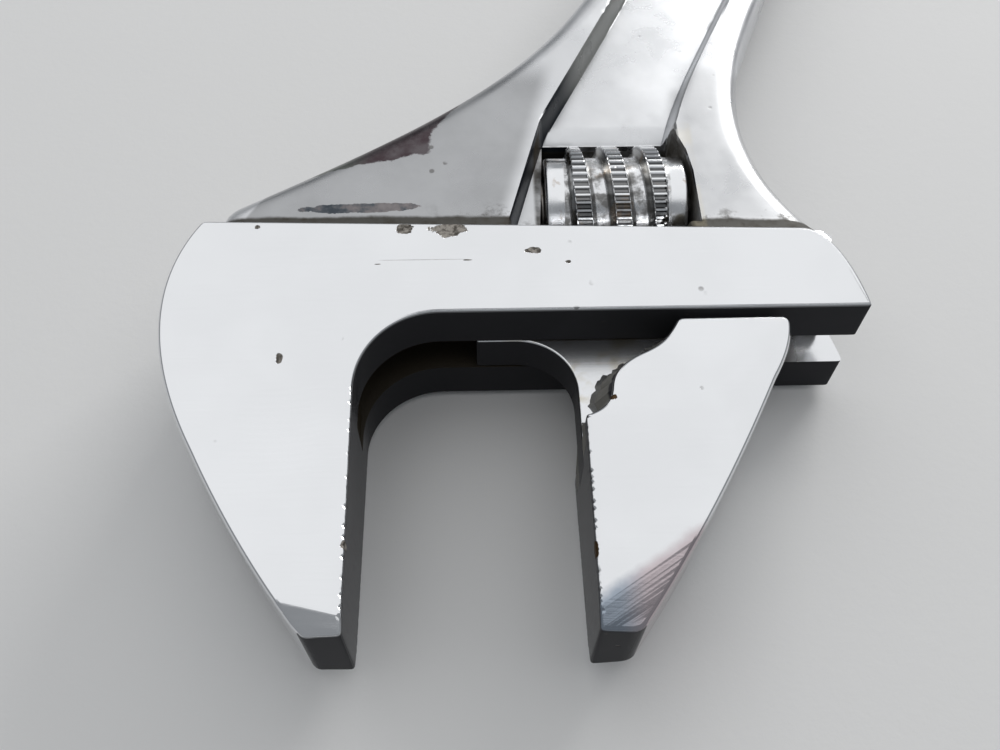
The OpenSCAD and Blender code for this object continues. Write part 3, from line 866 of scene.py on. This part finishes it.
def polish(r):
    """Marks of polishing as a height from 0 to 1: hair-fine streaks in three directions, and on the fixed jaw a
    patch of faint arcs."""
    streaks = [r.noise(1.0, 4, 0.7, r.turned(angle, (long, cross, 400.0)))
               for angle, long, cross in ((24, 200, 6000), (-42, 160, 5000), (78, 200, 5500))]
    arcs = r.out("ShaderNodeTexWave", 1, {"Vector": r.turned(0, (1, 1, 1), (0.0075, -0.030, 0)), "Scale": 470.0,
                                          "Distortion": 1.2, "Detail": 2.0, "Detail Scale": 0.6},
                 wave_type="RINGS", rings_direction="Z")
    c = placed([(-6.3, -12.4, 6.8)])[0]
    off = r.vec("MULTIPLY", r.vec("SUBTRACT", r.coord, tuple(c)), (1 / 0.0052, 1 / 0.0062, 1 / 0.004))
    near = r.span(r.out("ShaderNodeVectorMath", "Value", {0: off}, operation="LENGTH"), 1.0, 0.35)
    level = r.plus(r.plus(streaks[0], streaks[1]), streaks[2])
    return r.plus(r.times(level, 0.33), r.times(r.times(arcs, near), 0.24))


def walls(r, *rooms):
    """1 on the upright faces inside the given rooms, where the surface's own normal lies flat: the faces that get
    the painted shade.
    """
    _, _, up = r.split(r.nodes.new("ShaderNodeNewGeometry").outputs["True Normal"])
    flat = r.span(r.math("ABSOLUTE", up), 0.72, 0.35)
    return r.times(flat, r.any(*rooms))


def flaked(r):
    """Bare steel under lost plating: dark and light grey-brown grains."""
    return r.blend(r.span(r.noise(1500, 5, 0.75), 0.40, 0.60), colour("bare"), (0.30, 0.28, 0.255))


def pits(r, scale=420.0, share=0.16):
    """Small round pits: cells whose distance to their point is small, in the few places a slow noise lets
    through."""
    cells = r.out("ShaderNodeTexVoronoi", 0, {"Vector": r.coord, "Scale": scale, "Randomness": 1.0})
    return r.times(r.span(cells, share, share * 0.5), r.span(r.noise(210, 2, 0.5), 0.58, 0.66))


def body_chrome():
    """Polished plating on the head, satin plating on neck and handle, and the wear between: flakes, a scratch,
    grease and old dirt. Painted shade: near black on the upright faces, dark inside the bore and the slot, in the
    hollow at the step, on the panel's left wall and in the channel beside the window. Painted reflections: darker
    parts of the wings and two dark patches, one reddish, one bluish."""
    r = Recipe("body_chrome")
    x, y, z = r.split(r.coord)
    # 0 on the polished head, 1 on the satin neck and handle behind the step
    line = r.plus(y, r.times(x, (BAND_L - BAND_R) / STEP_RUN))
    at_step = row(step_y(0))
    neck = r.span(line, at_step, at_step + 0.0002)
    slow = r.noise(70, 3, 0.5)
    flakes = r.any(
        r.blob((4.3, 9.75, 8.28), (0.85, 0.62, 2), 0.5, 700),
        r.blob((8.75, 9.55, 8.28), (1.9, 0.80, 2), 0.6, 700),
        r.blob((17.3, 6.9, 8.1), (0.85, 0.36, 2), 0.6, 800),
        r.blob((20.6, 5.5, 8.0), (0.30, 0.22, 2), 0.5),
        r.blob((-10.2, 10.2, 8.3), (0.26, 0.20, 2), 0.6),
        r.blob((-6.9, -4.8, 7.3), (0.26, 0.55, 2), 0.5),
        r.blob((0.0, -22.9, 6.1), (0.36, 0.42, 1.0), 0.5),
    )
    scratch = r.any(r.times(r.blob((6.4, 5.95, 8.03), (4.4, 0.045, 1.5), 0.12, 300), 0.45),
                    r.blob((10.7, 5.85, 8.03), (0.42, 0.07, 1.5), 0.3),
                    r.blob((1.9, 5.5, 8.0), (0.30, 0.06, 1.5), 0.3))
    # painted shade: the inside of the bore and of the slot take the grime colour
    inner = r.any(r.times(r.rod(RAIL_Y, RAIL_R + SLIDE_GAP + 0.05), r.room((-11, -1, -5), (43, 14, 5), 3)),
                  r.times(r.room((-11, -9.6, -WEB_T / 2 - 0.16), (60, RAIL_Y, WEB_T / 2 + 0.16), 0.02),
                         r.span(x, 0.0465, 0.0425)))
    # painted shade: upright faces in the throat and at the fixed jaw's tip are coloured near black
    upright_shade = walls(r, r.room((-0.7, -31, -9), (52, 0.6, 9), 0.1), r.room((-4.6, -31, -9), (0.5, -30.0, 9), 0.1))
    x0, x1, y0, y1 = WINDOW
    cavity = r.any(r.room((x0 - 0.05, y0 - 1, -5.4), (x1 + 0.05, y1 - 0.9, 5.4), 0.5),
                   r.room((x0, y1 - 2, -1.6), (x1, y1 + 0.04, 1.6), 0.3))
    grease = r.times(cavity, r.span(r.noise(260, 4, 0.6), 0.30, 0.62, 0.30, 0.95))
    # painted shade: the hollow at the step is coloured dark for the dark reflection it shows, with old dirt in it
    uneven = r.times(r.minus(r.noise(240, 4, 0.65), 0.5), 0.0009)
    fillet = r.times(r.span(r.plus(line, uneven), at_step + 0.0028, at_step + 0.0023), neck)
    dirt = r.times(fillet, r.span(r.noise(420, 4, 0.65), 0.45, 0.70, 0.15, 0.8))
    creep = r.times(r.times(r.span(line, at_step + 0.0056, at_step + 0.0024), neck),
                   r.times(r.span(r.noise(360, 5, 0.7), 0.50, 0.64), r.span(x, 0.004, 0.014)))
    corner = r.blob((33.3, 24.6, 4.4), (0.9, 1.5, 2.2), 0.4, 500)
    film = r.times(r.room((x1 - 2.4, y0 - 1, 0.0), (x1 + 0.15, y1 - 0.4, 6.6), 0.5),
                  r.span(r.noise(300, 4, 0.6), 0.36, 0.66, 0.0, 0.6))
    # painted reflection: the left wing, left of a soft crease, and the lower part of the right wing are coloured
    # darker for the dark surroundings they reflect
    crease = r.minus(x, r.plus(r.times(r.minus(y, row(25.2)), 0.26), 0.0176))
    wing = r.times(r.span(crease, 0.0012, -0.0010), r.span(y, row(37), row(32)))
    facet = r.span(r.minus(r.plus(x, 0.0119), r.times(r.minus(y, row(14.3)), 0.5)),
                   0.0003, -0.0002)
    wing = r.times(wing, r.minus(1.0, facet))
    right = r.times(r.span(x, 0.0335, 0.0355), r.span(y, row(36), row(33)))
    top = r.span(z, 0.0022, 0.0034)
    # painted reflections: a dark reddish patch between the wing's outer edge and a low line, and a dark bluish one
    # just behind the hollow
    ragged = r.times(r.minus(r.noise(520, 5, 0.7), 0.5), 0.0018)
    low = r.minus(r.minus(y, row(20.4)), r.times(r.plus(x, 0.0014), 0.2))
    above = r.times(r.math("MAXIMUM", r.minus(y, row(25)), 0.0), 0.65)
    end = r.minus(r.minus(x, 0.0068), above)
    reddish_reflection = r.times(r.span(r.plus(low, ragged), -0.0001, 0.0002), r.span(r.plus(end, ragged), 0.0001, -0.0003))
    reddish_reflection = r.times(reddish_reflection, r.times(r.span(z, 0.0030, 0.0046), r.span(y, row(31), row(29.5))))
    bluish_reflection = r.times(r.blob((-0.3, 14.45, 6.4), (6.8, 0.66, 2.6), 0.42, 330), top)
    # painted shade: the panel's left wall and the channel beside the window are coloured dark, greyer up the handle
    beside = r.minus(r.minus(x, 0.0194), r.times(r.minus(y, row(24.9)), 0.465))
    along = r.times(r.span(r.math("ABSOLUTE", beside), 0.0028, 0.0022), r.span(y, row(23.5), row(24.5)))
    _, _, up = r.split(r.nodes.new("ShaderNodeNewGeometry").outputs["Normal"])
    steep = r.span(r.math("ABSOLUTE", up), 0.90, 0.72)
    wall = r.times(steep, r.any(r.room((14.0, 9, 0), (18.9, 25.4, 9), 0.3), along))
    wall = r.times(wall, r.span(y, row(75), row(60), 0.0, 1.0))
    # grime colour: painted shade inside the bore and the slot, grease in the window, dirt in and near the hollow at
    # the step, and a dark patch at the window's corner
    dark = r.any(inner, grease, dirt, r.times(creep, 0.7), r.times(corner, 0.85))
    bare = r.any(flakes, scratch)
    speck = pits(r)
    mottled = r.span(r.noise(60, 5, 0.62), 0.35, 0.68)
    tone = colour("satin")
    satin = r.blend(mottled, tone, tuple(0.86 * c for c in tone))
    # painted reflection: the wings darker where they reflect dark surroundings
    satin = r.blend(r.any(wing, r.times(right, 0.62)), satin,
                    r.blend(mottled, tuple(0.60 * c for c in tone), tuple(0.50 * c for c in tone)))
    cloudy = r.noise(420, 4, 0.65)
    # painted reflections: the two dark patches, one reddish, one bluish
    satin = r.blend(r.times(reddish_reflection, r.span(cloudy, 0.3, 0.7, 0.97, 0.80)), satin,
                    r.blend(r.span(x, -0.003, 0.0005), (0.14, 0.15, 0.135), (0.052, 0.034, 0.040)))
    satin = r.blend(r.times(bluish_reflection, r.span(cloudy, 0.3, 0.7, 0.95, 0.6)), satin,
                    r.blend(r.span(cloudy, 0.42, 0.62), (0.035, 0.045, 0.058), (0.09, 0.062, 0.06)))
    # painted shade in the hollow at the step
    satin = r.blend(fillet, satin, (0.085, 0.083, 0.078))
    # painted shade on the panel's left wall and in the channel beside the window
    satin = r.blend(wall, satin, r.blend(r.span(y, row(31), row(38)), (0.012, 0.015, 0.02), (0.27, 0.275, 0.265)))
    bright = colour("chrome")
    base = r.blend(neck, r.blend(r.span(slow, 0.3, 0.7), bright, tuple(0.95 * c for c in bright)), satin)
    base = r.blend(r.times(film, 0.3), base, colour("stain"))
    # painted shade on the upright faces
    base = r.blend(upright_shade, base, colour("upright_shade"))
    base = r.blend(dark, base, colour("grime_and_shade"))
    base = r.blend(r.times(speck, 0.6), base, colour("bare"))
    base = r.blend(bare, base, flaked(r))
    marks = polish(r)
    rough = r.mix(neck, r.span(marks, 0.38, 0.72, 0.12, 0.22, False),
                  r.span(r.noise(150, 4, 0.6), 0.3, 0.7, 0.25, 0.38))
    rough = r.mix(r.any(dark, bare, fillet), rough, 0.55)
    dull = r.any(upright_shade, r.times(wall, 0.8), r.times(fillet, 0.6))
    metal = r.times(r.span(dark, 0.2, 1.0, 1.0, 0.25, False), r.mix(dull, 1.0, 0.04))
    r.set(r.shader.inputs["IOR"], r.mix(dull, PLATED_IOR, DULL_IOR))
    waves = r.noise(38, 2, 0.4)
    normal = r.bump(waves, r.mix(neck, 0.10, 0.35), 0.0006)
    normal = r.bump(marks, 0.30, 0.00002, normal)
    normal = r.bump(r.plus(flakes, r.times(speck, 0.6)), 1.0, -0.00004, normal)
    normal = r.bump(r.noise(1500, 4, 0.7), r.times(r.any(dark, bare), 0.7), 0.00008, normal)
    return r.done(base, rough, normal, metal)


def jaw_chrome():
    """Polished plating with the upright faces inside painted near black as shade, a rough dirty slope beside the
    web and a painted bluish and reddish reflection on the rolled tip.
    """
    r = Recipe("jaw_chrome")
    x, y, _ = r.split(r.coord)
    slow = r.noise(85, 3, 0.5)
    rail = r.times(r.rod(RAIL_Y, RAIL_R + 0.06), r.span(y, row(0), row(0.5)))
    web = r.room((OPENING - 10, -14, -WEB_T / 2 - 0.05), (OPENING + 19, RAIL_Y, WEB_T / 2 + 0.05), 0.12)
    # painted shade: upright faces inside the jaw, at its tip and beside the web are coloured near black
    upright_shade = walls(r, r.room((OPENING - 12, -31, -9), (OPENING + 0.6, 9, 9), 0.1),
                     r.room((OPENING, -31, -9), (OPENING + 5, -29.9, 9), 0.1),
                     r.room((OPENING, -13, -9), (OPENING + 10.5, 9, 9), 0.1))
    nick = r.any(r.blob((OPENING - 0.05, -23.6, 6.1), (0.36, 0.8, 1.1), 0.5),
                 r.blob((OPENING + 2.6, -9.4, 7.0), (0.35, 0.3, 0.6), 0.5))
    # the rough slope, and the dirt where the block meets the web
    slope = r.times(r.minus(1.0, web), r.any(r.room((OPENING - 1, -13, 2.5), (OPENING + 9.4, -1, 5.0), 0.5),
                                             r.room((OPENING - 1, -13, -5.0), (OPENING + 9.4, -1, -2.5), 0.5)))
    dark = r.any(r.times(rail, r.span(r.noise(300, 3), 0.3, 0.6, 0.5, 0.95)),
                 r.times(slope, r.span(r.noise(420, 4, 0.6), 0.45, 0.70, 0.0, 0.55)))
    film = r.times(web, r.span(r.noise(230, 4, 0.6), 0.42, 0.60))
    speck = pits(r, 480, 0.13)
    # painted reflection: bluish and reddish on the rolled tip, past a ragged line
    off = r.plus(r.times(r.minus(x, OPENING * MM), 0.548),
                 r.times(r.minus(y, row(-27.3)), -0.836))
    tip_reflection = r.span(r.plus(off, r.times(r.minus(r.noise(300, 4, 0.6), 0.5), 0.0012)), -0.0001, 0.0012)
    tint = r.blend(r.span(x, (OPENING + 1.5) * MM, (OPENING + 4.5) * MM), (0.25, 0.30, 0.37), (0.50, 0.42, 0.44))
    base = r.blend(r.span(slow, 0.3, 0.7), colour("chrome"), tuple(0.94 * c for c in colour("chrome")))
    # painted reflection on the rolled tip
    base = r.blend(r.times(tip_reflection, 0.85), base, tint)
    base = r.blend(r.times(film, 0.5), base, colour("stain"))
    # painted shade on the upright faces
    base = r.blend(upright_shade, base, colour("upright_shade"))
    base = r.blend(dark, base, colour("grime_and_shade"))
    base = r.blend(r.times(slope, 0.55), base, (0.36, 0.35, 0.32))
    base = r.blend(r.times(speck, 0.6), base, colour("bare"))
    base = r.blend(nick, base, (0.07, 0.045, 0.025))
    marks = polish(r)
    rough = r.span(marks, 0.38, 0.72, 0.11, 0.21, False)
    rough = r.mix(web, rough, 0.27)
    rough = r.mix(r.any(dark, nick, slope), rough, 0.42)
    metal = r.times(r.span(dark, 0.2, 1.0, 1.0, 0.25, False), r.mix(upright_shade, 1.0, 0.04))
    r.set(r.shader.inputs["IOR"], r.mix(upright_shade, PLATED_IOR, DULL_IOR))
    normal = r.bump(r.noise(38, 2, 0.4), 0.10, 0.0006)
    normal = r.bump(marks, 0.30, 0.00002, normal)
    normal = r.bump(r.any(nick, speck), 1.0, -0.00005, normal)
    normal = r.bump(r.noise(700, 5, 0.7), r.times(r.any(dark, nick, slope), 0.8), 0.00020, normal)
    return r.done(base, rough, normal, metal)


def worm_chrome():
    """Bright lands, with old grease where the surface lies near the root, by distance from the worm's axis; painted
    shade in the knurl's grooves, on the thread's flanks and inside the bore.
    """
    r = Recipe("worm_chrome")
    _, py, pz = r.split(r.coord)
    dy = r.minus(py, row(WORM_MID[1]))
    d = r.math("SQRT", r.plus(r.times(dy, dy), r.times(pz, pz)))
    low = r.span(d, (ROOT_R + 0.55) * MM, (ROOT_R + 0.1) * MM)
    land = r.room((WORM_MID[0] - 5.6, WORM_MID[1] - 9, -9), (WORM_MID[0] + 5.7, WORM_MID[1] + 9, 9), 0.15)
    grease = r.times(r.times(land, low), r.span(r.noise(520, 4, 0.65), 0.42, 0.62, 0.05, 0.75))
    # painted shade: the knurl's groove bottoms and the thread's flanks are coloured dark
    teeth = r.times(r.span(d, (WORM_R - 0.06) * MM, (WORM_R - 0.26) * MM),
                    r.span(d, (WORM_R - 0.5) * MM, (WORM_R - 0.4) * MM))
    flanks = r.times(r.span(d, (WORM_R - 0.40) * MM, (WORM_R - 0.5) * MM),
                     r.span(d, (ROOT_R + 0.08) * MM, (ROOT_R + 0.3) * MM))
    rust = r.times(r.span(r.noise(380, 4, 0.6), 0.58, 0.68), 0.5)
    base = r.blend(r.times(r.times(teeth, land), 0.85), colour("chrome"), (0.10, 0.10, 0.10))
    base = r.blend(r.times(r.times(flanks, land), 0.75), base, (0.13, 0.125, 0.11))
    base = r.blend(rust, base, (0.34, 0.24, 0.15))
    base = r.blend(grease, base, colour("grime_and_shade"))
    # painted shade: the inside of the bore takes the grime colour
    bore = r.span(d, 0.0040, 0.0037)
    base = r.blend(bore, base, colour("grime_and_shade"))
    rough = r.mix(r.any(grease, bore), r.span(r.noise(400, 3), 0.3, 0.7, 0.14, 0.28), 0.5)
    metal = r.span(grease, 0.2, 1.0, 1.0, 0.4, False)
    rings = r.noise(1.0, 3, 0.6, r.turned(0, (9000, 500, 500)))
    normal = r.bump(rings, 0.25, 0.00002)
    normal = r.bump(pits(r, 700, 0.18), 0.8, -0.00005, normal)
    normal = r.bump(r.noise(1700, 4, 0.7), r.times(grease, 0.5), 0.00006, normal)
    return r.done(base, rough, normal, metal)


def steel(name, tone, rough_low, rough_high):
    """Plain drawn or turned steel: fine rings along X, a slow change of tone and specks of old oil."""
    r = Recipe(name)
    slow = r.noise(160, 3, 0.55)
    oil = r.span(r.noise(420, 4, 0.6), 0.56, 0.68)
    base = r.blend(slow, tone, tuple(0.72 * c for c in tone))
    base = r.blend(r.times(oil, 0.7), base, (0.10, 0.075, 0.05))
    rings = r.noise(1.0, 3, 0.6, r.turned(0, (7000, 400, 400)))
    rough = r.span(r.noise(300, 3), 0.3, 0.7, rough_low, rough_high)
    return r.done(base, rough, r.bump(rings, 0.4, 0.00002))


def pin_steel():
    return steel("pin_steel_finish", (0.50, 0.49, 0.47), 0.28, 0.45)


def spring_steel():
    return steel("spring_steel_finish", (0.33, 0.31, 0.29), 0.30, 0.5)


# ---------------------------------------------------------------- stage


class WRENCH_OT_stage(bpy.types.Operator):
    """Floor, soft lights and the camera"""
    bl_idname = "wrench.stage"
    bl_label = "Stage"

    def execute(self, context):
        low = CAD_BOX[0][2]
        mesh = bpy.data.meshes.new("floor")
        mesh.from_pydata([(-2, -2, low), (2, -2, low), (2, 2, low), (-2, 2, low)], [], [(0, 1, 2, 3)])
        floor = link("floor", mesh)
        r = Recipe("floor_paper")
        tone = colour("floor")
        base = r.blend(r.noise(9, 3, 0.5), tone, tuple(0.96 * c for c in tone))
        mesh.materials.append(r.done(base, 0.75, r.bump(r.noise(900, 4, 0.6), 0.12, 0.0002), 0.0))

        world = bpy.data.worlds.new("studio")
        context.scene.world = world
        world.use_nodes = True
        back = world.node_tree.nodes["Background"]
        back.inputs["Color"].default_value = (0.92, 0.96, 1.0, 1)
        back.inputs["Strength"].default_value = 0.30

        def panel(name, away, aim, size, size_y, power, tint=(1, 1, 1)):
            """A soft light `away` metres from the head's middle, turned to `aim`."""
            light = bpy.data.lights.new(name, "AREA")
            light.shape, light.size, light.size_y = "RECTANGLE", size, size_y
            light.energy, light.color = power, tint
            obj = bpy.data.objects.new(name, light)
            obj.location = away
            obj.rotation_euler = (Vector(aim) - Vector(away)).to_track_quat("-Z", "Y").to_euler()
            context.scene.collection.objects.link(obj)

        panel("key_panel", (0.02, 0.26, 0.62), (0.015, 0.02, 0), 1.5, 1.25, 4.1, (1.0, 0.995, 0.985))
        panel("back_lamp", (0.50, 0.80, 0.34), (0.01, 0.02, 0), 0.5, 0.3, 4.6, (1.0, 0.99, 0.97))

        lens = bpy.data.cameras.new("camera")
        lens.lens, lens.sensor_width, lens.sensor_fit = 35.84, 36.0, "HORIZONTAL"
        lens.clip_start, lens.clip_end = 0.004, 20.0
        camera = bpy.data.objects.new("camera", lens)
        right = Vector((0.9996, -0.0270, 0.0115)).normalized()
        ahead = Vector((0.0240, 0.5238, -0.8515)).normalized()
        up = right.cross(ahead).normalized()
        right = ahead.cross(up)
        turn = Matrix((right, up, -ahead)).transposed().to_4x4()
        camera.matrix_world = Matrix.Translation(Vector((11.331, -36.727, 85.414)) * MM) @ turn
        context.scene.collection.objects.link(camera)
        context.scene.camera = camera
        return {"FINISHED"}


class WRENCH_PT_panel(bpy.types.Panel):
    """The wrench's pieces and sizes"""
    bl_idname = "WRENCH_PT_panel"
    bl_label = "Adjustable Wrench"
    bl_space_type = "VIEW_3D"
    bl_region_type = "UI"
    bl_category = "Wrench"

    def draw(self, context):
        col = self.layout.column()
        for group in (context.scene.wrench_sizes, context.scene.wrench_finish):
            for prop in group.bl_rna.properties:
                if prop.identifier not in ("rna_type", "name"):
                    col.prop(group, prop.identifier)
        for op in PIECES + STAGE:
            col.operator(op.bl_idname)


PIECES = (WRENCH_OT_body, WRENCH_OT_jaw, WRENCH_OT_worm, WRENCH_OT_pin, WRENCH_OT_spring)
STAGE = (WRENCH_OT_stage,)
CLASSES = (WrenchSizes, WrenchFinish) + PIECES + STAGE + (WRENCH_PT_panel,)


def register():
    for cls in CLASSES:
        bpy.utils.register_class(cls)
    bpy.types.Scene.wrench_sizes = PointerProperty(type=WrenchSizes)
    bpy.types.Scene.wrench_finish = PointerProperty(type=WrenchFinish)


def unregister():
    del bpy.types.Scene.wrench_finish
    del bpy.types.Scene.wrench_sizes
    for cls in reversed(CLASSES):
        bpy.utils.unregister_class(cls)


def main():
    register()
    bpy.context.scene.view_settings.view_transform = "Standard"
    bpy.ops.wrench.body()
    bpy.ops.wrench.jaw()
    bpy.ops.wrench.worm()
    bpy.ops.wrench.pin()
    bpy.ops.wrench.spring()
    bpy.ops.wrench.stage()
    bpy.context.view_layer.update()


if __name__ == "__main__":
    main()
